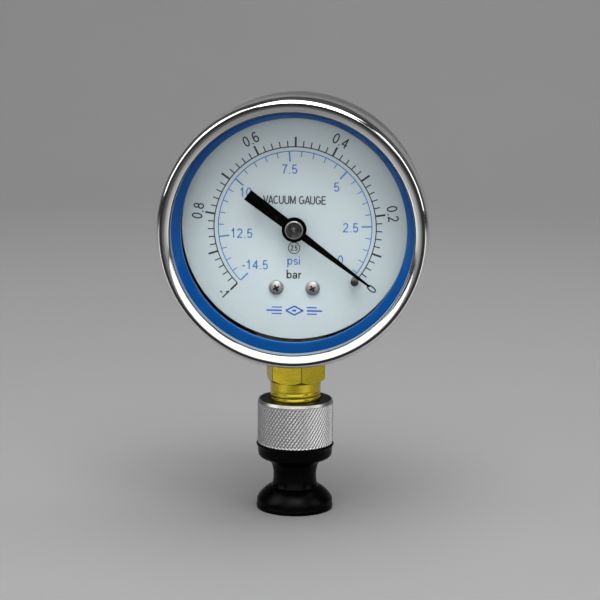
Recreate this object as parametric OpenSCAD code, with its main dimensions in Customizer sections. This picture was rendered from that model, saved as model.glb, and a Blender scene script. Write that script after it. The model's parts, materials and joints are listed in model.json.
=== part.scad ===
// Dial vacuum gauge on a closure-piercing foot.
// The stem runs up +Z from the centre of the rubber foot's sealing face, and the dial faces -Y.

/* [Gauge head] */
// Height of the dial's centre above the sealing face
dial_z = 76; // [72:0.5:84]
// Outside radius of the drawn case
case_r = 33.3; // [33:0.05:33.3]
// Thickness of the case's sheet metal
case_wall = 0.7; // [0.5:0.05:0.8]
// Depth of the case behind the stem's axis
case_back = 10; // [9.5:0.5:13]
// Outside radius of the bezel
bezel_r = 34.25; // [34.25:0.05:35]
// Distance from the stem's axis to the bezel's rear edge
bezel_rear = 9.3; // [8.5:0.1:11]
// Radius of the bezel's opening
opening_r = 30.8; // [30.6:0.1:31]
// Distance from the stem's axis to the bezel's foremost point
bezel_front = 22; // [21.5:0.1:23]
// Radius of the bezel's foremost circle
crest_r = 32.95; // [32.5:0.05:33.1]
// Distance from the stem's axis to the front face of the dial
dial_front = 8.2; // [8:0.1:9]
// Radius of the dial
dial_r = 28.95; // [28:0.05:29.5]

/* [Pointer and scale] */
// Angle at which the pointer rests, counterclockwise from +X as seen from the front
rest_angle = -36.5; // [-38:0.5:-35]
// Length of the pointer from its pivot to its tip
pointer_length = 24.3; // [22:0.1:25]
// Length of the pointer's tail
tail_length = 14.8; // [12:0.1:16]
// Width of the tail
tail_w = 3; // [2.5:0.1:3.5]

/* [Movement] */
// Gear module
gear_module = 0.3; // [0.3]
// Teeth of the pinion on the pointer's arbor
pinion_teeth = 10; // [10]
// Teeth that the sector would have on a full circle
sector_full_teeth = 80; // [80]
// Mean radius of the Bourdon tube's arc
tube_r = 22.6; // [22.4:0.1:23]
// Width of the flattened tube
tube_w = 7; // [6:0.5:8]
// Thickness of the flattened tube
tube_t = 3; // [2.6:0.1:3.2]
// Length of the sector's tail, from its arbor to the link's pivot
sector_tail = 4; // [3.8:0.1:4.2]

/* [Stem] */
// Outside diameter of the stem's thread
thread_d = 13.157; // [13.157]
// Width across the flats of the stem's hexagon
hex_af = 14; // [14:0.5:17]
// Height of the hexagon's lower face
hex_z = 34.3; // [33:0.1:36]
// Turn of the hexagon about the stem, to one of its corners
hex_turn = 44.6; // [0:0.1:60]
// Height of the stem's lower end
stem_end_z = 22; // [21.8:0.1:23]

/* [Collar and needle] */
// Outside radius of the knurled collar
collar_r = 9.9; // [9.5:0.1:10.5]
// Height of the collar's top
collar_top = 29.4; // [28.5:0.1:30]
// Height of the collar's underside
collar_bottom = 17.5; // [17.5:0.1:18]
// Outside radius of the hollow needle
needle_r = 1.25; // [1:0.05:1.3]
// Height of the needle's tip above the sealing face
needle_tip_z = 2.2; // [2:0.1:3]

/* [Rubber seal] */
// Radius of the foot
foot_r = 10.04; // [9.5:0.02:10.5]
// Height of the foot's rounded bulb
foot_h = 6; // [5.5:0.1:6.5]
// Smallest radius of the neck
neck_r = 5.6; // [5:0.1:6]
// Radius of the lip round the top flange
lip_r = 10.2; // [10:0.05:10.4]
// Radius of the top flange below its lip
flange_r = 9.82; // [9.5:0.01:10]
// Height of the top flange's underside
flange_z = 12.9; // [12.5:0.1:13.5]

/* [Hidden] */
$fn = 96;

fit = 0.05;                 // radial running clearance of a pin or shaft
seat = 0.02;                // gap between two faces of one body that seat on each other
through = 1;                // how far a cutter runs past the face it opens

// front to back behind the bezel's lip, as distances in front of the stem's axis
lip_back = bezel_front - 1.1;
glass_front = lip_back - seat;
glass_t = 2;
glass_r = opening_r + 0.2;
gasket_lip = 0.4;
gasket_back = glass_front - glass_t - gasket_lip - seat;
bezel_wall = 0.8;
outer_flank = 2.4;          // depth of the rounding from the bezel's crest to its side
inner_flank = 0.6;          // how far the bezel falls from its crest to its opening
bezel_bore = bezel_r - bezel_wall;
ring_front = gasket_back - seat;
ring_flange_t = 0.9;
ring_rear = 13;
ring_rear_r = 28.6;
ring_wall = 0.9;
case_rim = ring_front - ring_flange_t - seat;
case_corner = 3;
dial_t = 0.6;

// layers of the movement, as distances in front of the stem's axis
plate_t = 1;
front_plate_s = 4.4;        // rear face of the front plate
back_plate_s = -2.6;        // rear face of the back plate
plates_gap = front_plate_s - back_plate_s - plate_t;
plate_w = 14;
plate_top = 4.7;
plate_bottom = -23.8;
tongue_top = -19.4;
block_top = -24.2;
gear_s = 1.4;
gear_t = 1;
link_s = 0.4;
link_t = 0.7;
pillar_x = 5.2;
pillar_top_z = 2.9;
pillar_low_z = -21.7;
dial_screw_x = 4.68;
dial_screw_z = -15.6;

// gear geometry
pinion_r = gear_module * pinion_teeth / 2;
sector_r = gear_module * sector_full_teeth / 2;
sector_z = -(pinion_r + sector_r);      // the sector's arbor is below the dial's centre
pressure_angle = 25;
tooth_thinning = 0.03;                  // taken off each tooth, for backlash
sector_first = 18;                      // first and last tooth of the sector, counted from +X
sector_last = 29;
rim_r = 10.4;                           // inside radius of the sector's toothed rim

pinion_root_r = pinion_r - 1.15 * gear_module;
pinion_tip_r = pinion_r + 0.85 * gear_module;
sector_root_r = sector_r - 1.1 * gear_module;
sector_tip_r = sector_r + 0.75 * gear_module;
arbor_r = 0.7;
pivot_r = 0.4;
back_pivot_l = plate_t + 0.2;
sector_arbor_r = 0.9;
sector_pivot_r = 0.45;

// hairspring, its collet on the pointer's arbor and its stud
collet_r = 1.1;
spring_s = -0.7;
stud_angle = 200;
stud_r = 0.5;

// Bourdon tube and linkage, in the plane of the dial
tube_root = 247;
tube_end = -28;
tube_s = 0.75;                          // the tube's mid plane, in front of the stem's axis
tail_angle = -45;
tail_pivot = [sector_tail * cos(tail_angle), sector_z + sector_tail * sin(tail_angle)];
tip_pivot = [17, -13];
link_pin_r = 0.5;
tip_pin_r = 0.45;
tip_play = 0.1;                         // the open pivot's extra play
cap_angle = 3.2;                        // length of the tube's end cap along the arc

// pointer and its stop
pointer_s = 11.7;                       // rear face of the pointer's blade
blade_t = 0.4;
hub_r = 3.15;
stop_r = 20.4;
stop_angle = -40.6;
stop_pin_r = 1;
stop_shank_r = 0.6;

// openings in the back of the case, from the dial's centre
relief_y = 15;
relief_r = 6;
case_screw_x = [-5.6, 5.6];
case_screw_y = -27.2;

// stem, collar and needle
hex_corner_r = hex_af / sqrt(3);
stem_neck_r = 6.3;
stem_bore_r = 2;
case_bottom = -sqrt(pow(case_r, 2) - pow(hex_corner_r, 2));
washer_recess_r = 9.25;
washer_recess = 0.55;
holder_z = 19.6;
holder_shoulder_z = 20.8;
holder_flange_t = 0.6;
plug_r = 5;
seal_bore_r = 1.6;

function polar(r, a) = [r * cos(a), r * sin(a)];
function arc(c, r, from, to, steps) =
    [for (i = [0 : steps]) c + polar(r, from + (to - from) * i / steps)];
function reversed(list) = [for (i = [len(list) - 1 : -1 : 0]) list[i]];

// Draws in the front view: x to the right, y up from the dial's centre, and extrusions come forward
module front_plane(s) {
    translate([0, -s, dial_z]) rotate([90, 0, 0]) children();
}

// A disc or ring about the dial's axis, from the distance s forward
module front_disc(s, t, r, bore_r = 0, at = [0, 0]) {
    front_plane(s) translate(at) difference() {
        cylinder(h = t, r = r);
        if (bore_r > 0) translate([0, 0, -through]) cylinder(h = t + 2 * through, r = bore_r);
    }
}

// A ring turned about the stem
module stem_ring(z0, z1, r, bore_r) {
    difference() {
        translate([0, 0, z0]) cylinder(h = z1 - z0, r = r);
        translate([0, 0, z0 - through]) cylinder(h = z1 - z0 + 2 * through, r = bore_r);
    }
}

// A pan head with a cross recess, standing forward of the origin
module cross_head(r, h) {
    slot_w = r * 0.28;
    slot_l = r * 1.2;
    difference() {
        union() {
            cylinder(h = h * 0.55, r = r);
            translate([0, 0, h * 0.55]) cylinder(h = h * 0.45, r1 = r, r2 = r * 0.62);
        }
        for (a = [0, 90]) rotate(a) translate([-slot_l / 2, -slot_w / 2, h * 0.4])
            cube([slot_l, slot_w, h]);
    }
}

// ---- gauge head ----

module case() {
    inside_r = case_corner - case_wall;
    corner_at = [case_r - case_corner, case_corner - case_back];
    outside = concat([[0, -case_back]], arc(corner_at, case_corner, -90, 0, 6),
                     [[case_r, case_rim], [case_r - case_wall, case_rim]]);
    inside = concat(arc(corner_at, inside_r, 0, -90, 6), [[0, case_wall - case_back]]);
    color("gainsboro") difference() {
        front_plane(0) rotate_extrude() polygon(concat(outside, inside));
        translate([0, 0, dial_z - case_r - through]) cylinder(h = 4, r = stem_neck_r + fit);
        front_plane(-case_back - through) translate([0, relief_y, 0]) cylinder(h = 3, r = relief_r);
        for (x = case_screw_x) front_plane(-case_back - through)
            translate([x, case_screw_y, 0]) cylinder(h = 3, r = 1.6);
    }
}

// The bezel is highest on its crest, and falls steeply to its side and gently to its opening
module bezel() {
    side = [for (i = [0 : 10]) [crest_r + (bezel_r - crest_r) * cos(9 * i),
                                bezel_front - outer_flank * (1 - sin(9 * i))]];
    lean = 2 * atan(inner_flank / (crest_r - opening_r));
    inner_r = (crest_r - opening_r) / sin(lean);
    face = arc([crest_r, bezel_front - inner_r], inner_r, 90, 90 + lean, 8);
    color("silver") front_plane(0) rotate_extrude() polygon(concat(
        [[bezel_bore, bezel_rear], [bezel_r - 0.35, bezel_rear], [bezel_r, bezel_rear + 0.35]],
        side, [for (i = [1 : 8]) face[i]], [[opening_r, lip_back], [bezel_bore, lip_back]]));
}

module window() {
    color("lightcyan", 0.35) front_disc(glass_front - glass_t, glass_t, glass_r);
}

module window_gasket() {
    outer = bezel_bore - seat;
    color("whitesmoke") front_plane(0) rotate_extrude() polygon([
        [outer, gasket_back], [outer, glass_front], [glass_r + seat, glass_front],
        [glass_r + seat, glass_front - glass_t - seat], [opening_r - 0.35, glass_front - glass_t - seat],
        [opening_r - 0.35, gasket_back]]);
}

module dial_ring() {
    front_r = opening_r - 0.6;
    skirt_r = case_r - case_wall - 0.1;
    color("royalblue") front_plane(0) rotate_extrude() polygon([
        [front_r, ring_front], [ring_rear_r, ring_rear], [ring_rear_r + ring_wall, ring_rear],
        [skirt_r, case_rim - 1], [skirt_r, case_rim + seat], [bezel_bore - seat, case_rim + seat],
        [bezel_bore - seat, ring_front]]);
}

module dial_plate() {
    color("lightsteelblue") front_plane(dial_front - dial_t) difference() {
        cylinder(h = dial_t, r = dial_r);
        translate([0, 0, -through]) cylinder(h = 3, r = 1.5);
        for (x = [-dial_screw_x, dial_screw_x])
            translate([x, dial_screw_z, -through]) cylinder(h = 3, r = 0.9);
        translate(concat(polar(stop_r, stop_angle), -through)) cylinder(h = 3, r = stop_shank_r + seat);
    }
}

module dial_screws() {
    color("silver") for (x = [-dial_screw_x, dial_screw_x]) {
        front_plane(dial_front + seat) translate([x, dial_screw_z, 0]) cross_head(1.85, 1.3);
        front_disc(front_plate_s + 0.5, dial_front - front_plate_s - 0.5 + seat, 0.75,
                   at = [x, dial_screw_z]);
    }
}

module stop_pin() {
    at = polar(stop_r, stop_angle);
    color("silver") {
        front_disc(dial_front + seat, 4.2, stop_pin_r, at = at);
        front_disc(dial_front - dial_t - 0.4, dial_t + 0.4 + seat, stop_shank_r, at = at);
    }
}

module relief_plug() {
    color("dimgray") {
        front_disc(-case_back - 1.1, 1.1 - seat, relief_r + 1.6, at = [0, relief_y]);
        front_disc(-case_back - seat, 1.2, relief_r - seat, at = [0, relief_y]);
    }
}

module case_screws() {
    color("silver") for (x = case_screw_x) {
        translate([x, case_back + seat, dial_z + case_screw_y]) rotate([-90, 0, 0]) cross_head(2.7, 1.7);
        front_disc(-case_back - seat, 6, 1.45, at = [x, case_screw_y]);
    }
}

// ---- stem and Bourdon tube ----

// The block inside the case, which carries the tube's root and the movement
module socket_block() {
    depth_back = case_back - case_wall - fit;
    inside_r = case_r - case_wall - fit;
    front_s = 6.5;
    left_low = polar(tube_r + tube_t, tube_root);
    left_top = [tongue_top / tan(tube_root), tongue_top];
    // tongue between the movement's plates, with the boss that holds the tube's root
    front_plane(back_plate_s + plate_t + seat) linear_extrude(plates_gap - 2 * seat)
        polygon([left_top, [8, tongue_top], [8, block_top - 1], [left_low[0], block_top - 1], left_low]);
    // wide foot that fills the bottom of the case, clear of its rounded back corner
    intersection() {
        front_plane(-depth_back) linear_extrude(depth_back + front_s)
            translate([-9.9, -case_r]) square([18, case_r + block_top]);
        union() {
            front_plane(-depth_back) cylinder(h = depth_back + front_s, r = inside_r - case_corner);
            front_plane(case_corner - case_back)
                cylinder(h = case_back - case_corner + front_s, r = inside_r);
        }
    }
}

module socket() {
    passage_z = dial_z + tongue_top - 3;
    color("goldenrod") difference() {
        union() {
            translate([0, 0, stem_end_z]) cylinder(h = hex_z - stem_end_z, r = thread_d / 2);
            // hexagon, cut to the curve of the case
            difference() {
                translate([0, 0, hex_z]) rotate(hex_turn)
                    cylinder(h = dial_z + case_bottom - hex_z + 2, r = hex_corner_r, $fn = 6);
                front_plane(-20) cylinder(h = 40, r = case_r + fit);
            }
            // neck that passes through the case's wall
            translate([0, 0, dial_z - case_r - 1]) cylinder(h = 6, r = stem_neck_r);
            socket_block();
        }
        translate([0, 0, stem_end_z - through])
            cylinder(h = passage_z - stem_end_z + through, r = stem_bore_r);
        translate([0, -tube_s, passage_z]) rotate([0, -90, 0]) cylinder(h = 20, r = 0.9);
        for (x = case_screw_x) front_plane(-case_back) translate([x, case_screw_y, 0])
            cylinder(h = 7, r = 1.47);
        for (x = [-pillar_x, pillar_x]) front_plane(-20) translate([x, pillar_low_z, 0])
            cylinder(h = 40, r = 0.62);
    }
}

module restrictor() {
    color("gold") stem_ring(stem_end_z + 1, stem_end_z + 5, stem_bore_r - seat, 0.4);
}

// The tube's flattened section, in the plane of radius and width
module tube_section(t, w) {
    square([t, w - t], center = true);
    for (s = [-1, 1]) translate([0, s * (w - t) / 2]) circle(r = t / 2, $fn = 48);
}

module tube_arc(from, to, r, t, w) {
    front_plane(tube_s) rotate(from) rotate_extrude(angle = to - from) translate([r, 0]) tube_section(t, w);
}

module bourdon_tube() {
    wall = 0.4;
    color("peru") difference() {
        tube_arc(tube_end, tube_root - 0.1, tube_r, tube_t, tube_w);
        tube_arc(tube_end - 1, tube_root + 1, tube_r, tube_t - 2 * wall, tube_w - 2 * wall);
    }
}

module tube_tip() {
    ear_t = 0.7;
    ear_w = 2;
    color("goldenrod") {
        // cap that closes the tube
        tube_arc(tube_end - cap_angle, tube_end - 0.1, tube_r, tube_t + 0.4, tube_w + 0.4);
        // two ears that straddle the link
        for (s = [link_s - 0.3 - ear_t, link_s + link_t + 0.3]) front_plane(s) difference() {
            ear_root = polar(tube_r - 0.6, tube_end - cap_angle + 0.3);
            reach = norm(ear_root - tip_pivot);
            lean = atan2(ear_root[1] - tip_pivot[1], ear_root[0] - tip_pivot[0]);
            translate(tip_pivot) union() {
                cylinder(h = ear_t, r = ear_w / 2);
                rotate(lean) translate([0, -ear_w / 2, 0]) cube([reach, ear_w, ear_t]);
            }
            translate(concat(tip_pivot, -through)) cylinder(h = 4, r = tip_pin_r + seat);
        }
    }
}

module tip_pin() {
    color("silver") front_disc(link_s - 1.3, link_t + 2.6, tip_pin_r, at = tip_pivot);
}

// ---- movement ----

module plate(s, windows) {
    half = plate_w / 2;
    cut = 1.6;
    color("khaki") front_plane(s) difference() {
        linear_extrude(plate_t) polygon([
            [-half, plate_bottom + cut], [cut - half, plate_bottom],
            [half - cut, plate_bottom], [half, plate_bottom + cut],
            [half, plate_top - cut], [half - cut, plate_top],
            [cut - half, plate_top], [-half, plate_top - cut]]);
        for (w = windows) translate([w[0], w[1], -through]) cylinder(h = 4, r = w[2]);
        for (x = [-pillar_x, pillar_x], y = [pillar_low_z, pillar_top_z])
            translate([x, y, -through]) cylinder(h = 4, r = 0.65);
    }
}

module front_plate() {
    plate(front_plate_s, [[0, 0, arbor_r + fit], [0, sector_z, sector_pivot_r + fit],
                          [0, -6.5, 2.6], [dial_screw_x, dial_screw_z, 0.85],
                          [-dial_screw_x, dial_screw_z, 0.85]]);
}

module back_plate() {
    plate(back_plate_s, [[0, 0, pivot_r + fit], [0, sector_z, sector_pivot_r + fit], [0, -6.5, 3.4]]);
}

module plate_pillars() {
    color("khaki") for (x = [-pillar_x, pillar_x])
        front_disc(back_plate_s + plate_t + seat, plates_gap - 2 * seat, 1.3, 0.63, [x, pillar_top_z]);
}

module movement_screws() {
    shank = plate_t + 2;
    color("silver") for (x = [-pillar_x, pillar_x], y = [pillar_low_z, pillar_top_z]) {
        front_plane(front_plate_s + plate_t + seat) translate([x, y, 0]) cross_head(1.2, 0.8);
        front_disc(front_plate_s + plate_t - shank + seat, shank, 0.58, at = [x, y]);
        if (y == pillar_top_z) {
            translate([x, -back_plate_s + seat, dial_z + y]) rotate([-90, 0, 0]) cross_head(1.2, 0.8);
            front_disc(back_plate_s - seat, shank, 0.58, at = [x, y]);
        }
    }
}

module dial_posts() {
    base = front_plate_s + plate_t + seat;
    color("khaki") for (x = [-dial_screw_x, dial_screw_x])
        front_disc(base, dial_front - dial_t - seat - base, 1.6, 0.78, [x, dial_screw_z]);
}

// Half the angle that a tooth of an n-tooth gear covers at radius r
function involute(a) = tan(a) * 180 / PI - a;
function tooth_half(n, r) =
    let (pitch_r = gear_module * n / 2, base_r = pitch_r * cos(pressure_angle))
    90 / n - tooth_thinning / pitch_r * 180 / PI + involute(pressure_angle)
    - involute(acos(min(1, base_r / max(r, base_r))));

// Outline of the teeth from first to last, counterclockwise; tooth 0 is centred on +X
function tooth_outline(n, root_r, tip_r, first, last) =
    let (steps = 5, radii = [for (k = [0 : steps]) root_r + (tip_r - root_r) * k / steps])
    [for (i = [first : last]) each concat(
        [for (r = radii) polar(r, 360 / n * i - tooth_half(n, r))],
        [for (r = reversed(radii)) polar(r, 360 / n * i + tooth_half(n, r))])];

module pointer_pinion() {
    width = 2;
    color("gold") {
        front_plane(gear_s - 0.5) linear_extrude(width)
            polygon(tooth_outline(pinion_teeth, pinion_root_r, pinion_tip_r, 0, pinion_teeth - 1));
        front_disc(back_plate_s, back_pivot_l, pivot_r);
        front_disc(back_plate_s + back_pivot_l, gear_s - 0.5 - back_plate_s - back_pivot_l, arbor_r);
        front_disc(gear_s - 0.5 + width, pointer_s + 0.6 - gear_s - width + 0.5, arbor_r);
        front_disc(spring_s - 0.1, 0.7, collet_r);
    }
}

module sector_gear() {
    hub_r = 2.1;
    teeth = tooth_outline(sector_full_teeth, sector_root_r, sector_tip_r, sector_first, sector_last);
    from = 360 / sector_full_teeth * (sector_first - 0.5);
    to = 360 / sector_full_teeth * (sector_last + 0.5);
    color("gold") front_plane(gear_s) translate([0, sector_z, 0]) linear_extrude(gear_t) difference() {
        union() {
            polygon(concat([polar(sector_root_r, from)], teeth, [polar(sector_root_r, to)],
                           arc([0, 0], rim_r, to, from, 6)));
            circle(r = hub_r);
            for (a = [from + 4, to - 4]) rotate(a) translate([0, -0.7]) square([rim_r + 0.5, 1.4]);
            rotate(tail_angle) translate([0, -0.9]) square([sector_tail, 1.8]);
            rotate(tail_angle) translate([sector_tail, 0]) circle(r = 1.2, $fn = 48);
        }
        circle(r = sector_arbor_r + seat, $fn = 48);
        rotate(tail_angle) translate([sector_tail, 0]) circle(r = link_pin_r + seat, $fn = 48);
    }
}

module sector_arbor() {
    at = [0, sector_z];
    pivot_l = plate_t + 0.2;
    color("silver") {
        front_disc(back_plate_s, pivot_l, sector_pivot_r, at = at);
        front_disc(back_plate_s + pivot_l, plates_gap - 0.4, sector_arbor_r, at = at);
        front_disc(front_plate_s - 0.2, pivot_l, sector_pivot_r, at = at);
    }
}

module link_pin() {
    color("silver") {
        front_disc(link_s - 0.25, gear_s + gear_t - link_s + 0.25, link_pin_r, at = tail_pivot);
        front_disc(link_s - 0.55, 0.3, 0.9, at = tail_pivot);
    }
}

module link() {
    eye_r = 1.1;
    strip_w = 1.3;
    length = norm(tip_pivot - tail_pivot);
    lean = atan2(tip_pivot[1] - tail_pivot[1], tip_pivot[0] - tail_pivot[0]);
    color("silver") front_plane(link_s) translate(tail_pivot) rotate(lean) difference() {
        union() {
            cylinder(h = link_t, r = eye_r);
            translate([length, 0, 0]) cylinder(h = link_t, r = eye_r);
            translate([0, -strip_w / 2, 0]) cube([length, strip_w, link_t]);
        }
        translate([0, 0, -through]) cylinder(h = 3, r = link_pin_r + fit);
        translate([length, 0, -through]) cylinder(h = 3, r = tip_pin_r + fit + tip_play);
    }
}

module hairspring() {
    turns = 4;
    strip_t = 0.12;
    inner_r = collet_r + seat;
    outer_r = 4.05;
    step = 15;
    count = turns * 360 / step;
    start = stud_angle - turns * 360;
    radius = function (i) inner_r + (outer_r - inner_r) * i / count;
    color("steelblue") front_plane(spring_s) linear_extrude(0.5) polygon(concat(
        [for (i = [0 : count]) polar(radius(i), start + i * step)],
        [for (i = [count : -1 : 0]) polar(radius(i) + strip_t, start + i * step)]));
}

module hairspring_stud() {
    color("khaki") front_disc(back_plate_s + plate_t + seat, 2.2, stud_r, at = polar(4.75, stud_angle));
}

// ---- pointer ----

module pointer() {
    root_w = 2.1;
    tip_w = 0.5;
    waist_w = tail_w - 0.4;
    color("black") front_plane(pointer_s) rotate(rest_angle) difference() {
        union() {
            linear_extrude(blade_t) polygon([
                [0, -root_w / 2], [pointer_length - 0.5, -tip_w / 2], [pointer_length, 0],
                [pointer_length - 0.5, tip_w / 2], [0, root_w / 2]]);
            linear_extrude(blade_t) polygon([
                [0, -waist_w / 2], [0, waist_w / 2],
                [-tail_length, tail_w / 2], [-tail_length, -tail_w / 2]]);
            translate([0, 0, -0.3]) cylinder(h = 1, r = hub_r);
            translate([0, 0, -2]) cylinder(h = 2, r = 1.1);
        }
        translate([0, 0, -3]) cylinder(h = 3.62, r = arbor_r + seat);
    }
}

module pointer_cap() {
    base = pointer_s + 0.7 + seat;
    color("dimgray") front_plane(base) {
        cylinder(h = 0.3, r = 2.35);
        translate([0, 0, 0.3]) cylinder(h = 0.2, r1 = 2.35, r2 = 1.9);
    }
}

// ---- collar, needle and seal ----

module stem_washer() {
    top = collar_top - 0.2;
    color("dimgray") stem_ring(collar_top - washer_recess + fit, top, washer_recess_r - fit, 7.05);
}

module knurled_collar() {
    edge = 0.3;
    color("lightgray") rotate_extrude() polygon([
        [plug_r, collar_bottom], [collar_r - edge, collar_bottom], [collar_r, collar_bottom + edge],
        [collar_r, collar_top - edge], [collar_r - edge, collar_top], [washer_recess_r, collar_top],
        [washer_recess_r, collar_top - washer_recess], [thread_d / 2 + fit, collar_top - washer_recess],
        [thread_d / 2 + fit, holder_shoulder_z], [plug_r, holder_shoulder_z]]);
}

module needle_holder() {
    color("goldenrod") {
        stem_ring(holder_z, holder_shoulder_z + seat, plug_r - seat, needle_r + seat);
        stem_ring(holder_shoulder_z + seat, holder_shoulder_z + holder_flange_t,
                  thread_d / 2 - fit, needle_r + seat);
    }
}

module holder_washer() {
    color("ivory") stem_ring(holder_shoulder_z + holder_flange_t + seat, stem_end_z - seat, 6, 2.2);
}

module piercing_needle() {
    bore_r = 0.75;
    length = holder_shoulder_z + holder_flange_t - needle_tip_z;
    color("silver") difference() {
        translate([0, 0, needle_tip_z]) cylinder(h = length, r = needle_r);
        translate([0, 0, needle_tip_z - through]) cylinder(h = length + 2 * through, r = bore_r);
        // slanted grinding of the point
        translate([0, 0, needle_tip_z]) rotate([0, 35, 0]) translate([-5, -5, -8.75]) cube([10, 10, 8]);
    }
}

module seal_flange() {
    spigot_z = holder_z - 2 * seat;
    top = collar_bottom - seat;
    color("black") rotate_extrude() polygon([
        [seal_bore_r, flange_z], [neck_r + 1.2, flange_z], [flange_r - 1, flange_z + 0.9],
        [flange_r, flange_z + 1.7], [flange_r, top - 1.3], [lip_r, top],
        [plug_r - seat, top], [plug_r - seat, spigot_z], [seal_bore_r, spigot_z]]);
}

module seal_neck() {
    flare = 1.2;
    mid_z = 9.3;
    color("black") rotate_extrude() polygon(concat(
        [[seal_bore_r, foot_h + seat]], [[neck_r + 0.5, foot_h + seat]],
        [[neck_r + 0.15, foot_h + 1.4], [neck_r, mid_z], [neck_r + 0.3, mid_z + 1.7],
         [neck_r + flare, flange_z - seat], [seal_bore_r, flange_z - seat]]));
}

module seal_foot() {
    lip_h = 1.2;
    bulb_r = foot_r - 0.12;
    top_r = neck_r + 0.6;
    dish_r = 7;
    dish_h = 0.9;
    shoulder_z = 2.4;
    flatness = 1.48;            // 1 makes the bulb a quarter ellipse, and more makes its shoulder flatter
    color("black") rotate_extrude() polygon(concat(
        [[dish_r, 0], [foot_r - 0.3, 0], [foot_r, 0.3], [foot_r, lip_h - 0.15], [bulb_r - 0.1, lip_h]],
        [for (a = [0 : 10 : 90]) [top_r + (bulb_r - top_r) * pow(cos(a), flatness),
                                  shoulder_z + (foot_h - shoulder_z) * pow(sin(a), flatness)]],
        [[seal_bore_r, foot_h], [seal_bore_r, dish_h]]));
}

case();
bezel();
window();
window_gasket();
dial_ring();
dial_plate();
dial_screws();
stop_pin();
relief_plug();
case_screws();
socket();
restrictor();
bourdon_tube();
front_plate();
back_plate();
plate_pillars();
movement_screws();
dial_posts();
hairspring();
hairspring_stud();
pointer();
pointer_cap();
pointer_pinion();
sector_gear();
sector_arbor();
link_pin();
link();
tube_tip();
tip_pin();
stem_washer();
knurled_collar();
needle_holder();
holder_washer();
piercing_needle();
seal_flange();
seal_neck();
seal_foot();
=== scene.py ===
import json
import math

import bpy
import bmesh
from mathutils import Matrix, Vector


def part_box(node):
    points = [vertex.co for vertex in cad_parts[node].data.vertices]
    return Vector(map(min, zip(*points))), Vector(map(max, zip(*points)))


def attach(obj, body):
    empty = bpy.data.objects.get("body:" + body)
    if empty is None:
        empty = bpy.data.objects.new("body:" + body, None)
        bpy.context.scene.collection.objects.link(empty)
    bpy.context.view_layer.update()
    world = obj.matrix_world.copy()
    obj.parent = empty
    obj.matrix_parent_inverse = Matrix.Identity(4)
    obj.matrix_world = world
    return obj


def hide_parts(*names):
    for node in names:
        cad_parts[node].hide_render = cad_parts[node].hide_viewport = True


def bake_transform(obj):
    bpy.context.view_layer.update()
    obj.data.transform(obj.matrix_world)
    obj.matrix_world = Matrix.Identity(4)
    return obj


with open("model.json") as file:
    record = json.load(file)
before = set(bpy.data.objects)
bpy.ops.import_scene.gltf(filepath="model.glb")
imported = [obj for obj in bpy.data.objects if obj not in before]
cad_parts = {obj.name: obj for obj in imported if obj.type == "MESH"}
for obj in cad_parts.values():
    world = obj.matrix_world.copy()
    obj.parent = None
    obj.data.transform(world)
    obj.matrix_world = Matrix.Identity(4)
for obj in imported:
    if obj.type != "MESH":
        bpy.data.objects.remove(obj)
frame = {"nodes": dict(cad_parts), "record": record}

# Lengths are in millimetres, as in the CAD model, and become metres in a mesh. Only the lamps and the
# camera are placed in metres.
MM = 0.001
MERGE_DISTANCE = 1e-7    # metres within which two points of a mesh become one
scene = bpy.context.scene
nodes = frame["nodes"]
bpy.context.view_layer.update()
for name in ("Cube", "Light", "Camera"):
    if name in bpy.data.objects:
        bpy.data.objects.remove(bpy.data.objects[name])


def box(node):
    low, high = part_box(node)
    return low / MM, high / MM


# ---- sizes read from the CAD nodes ----

dial_low, dial_high = box("dial_plate")
bezel_low, bezel_high = box("bezel")
case_low, case_high = box("case")
ring_low, ring_high = box("dial_ring")
collar_low, collar_high = box("knurled_collar")

GAP = 0.02               # left between faces of two pieces that would otherwise coincide
DIAL_Z = (dial_low.z + dial_high.z) / 2
DIAL_S = -dial_low.y     # distances "s" are in front of the stem's axis

BEZEL_R = bezel_high.x
BEZEL_REAR = -bezel_high.y
BEZEL_FRONT = -bezel_low.y
CREST_R = 32.95          # the bezel's highest line
OPENING_R = 30.8         # the opening inside its lip
OUTER_FLANK = 2.4        # how far it falls from the crest to its outer side
INNER_FLANK = 0.6        # how far it falls from the crest to its opening
RING_REAR = -ring_high.y + 1.0

CASE_R = case_high.x
CASE_BACK = case_high.y
CASE_RIM = -case_low.y
CASE_WALL = 0.7
PLUG_AT = (0, 15)
CASE_SCREWS_AT = [(-5.6, -27.2), (5.6, -27.2)]

STEM_END = box("socket")[0].z
BORE_R = 2
THREAD_R = 13.157 / 2
THREAD_PITCH = 1.337
THREAD_DEPTH = 0.09
HEX_Z = 34.3
HEX_AF = 14
HEX_TURN = 44.6

COLLAR_R = collar_high.x
COLLAR_LOW = collar_low.z
COLLAR_TOP = collar_high.z
COLLAR_EDGE = 0.3        # size of the rounding round the collar's lower end
COLLAR_SLOPE = 0.7       # height of the bevel round its top
KNURL_TEETH = 62
KNURL_LEAN = math.tan(math.radians(36))
KNURL_FADE = 0.25        # height over which the grooves run out at either end


# ---- mesh helpers ----

def on_dial(x, y, s):
    """A point of the front view, x to the right and y up from the dial's centre, s in front of the stem."""
    return Vector((x, -s, DIAL_Z + y))


def on_stem(x, y, z):
    return Vector((x, y, z))


def behind_case(x, y, s):
    """As on_dial, with s counted backward from the back of the case."""
    return Vector((x, CASE_BACK + s, DIAL_Z + y))


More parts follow.
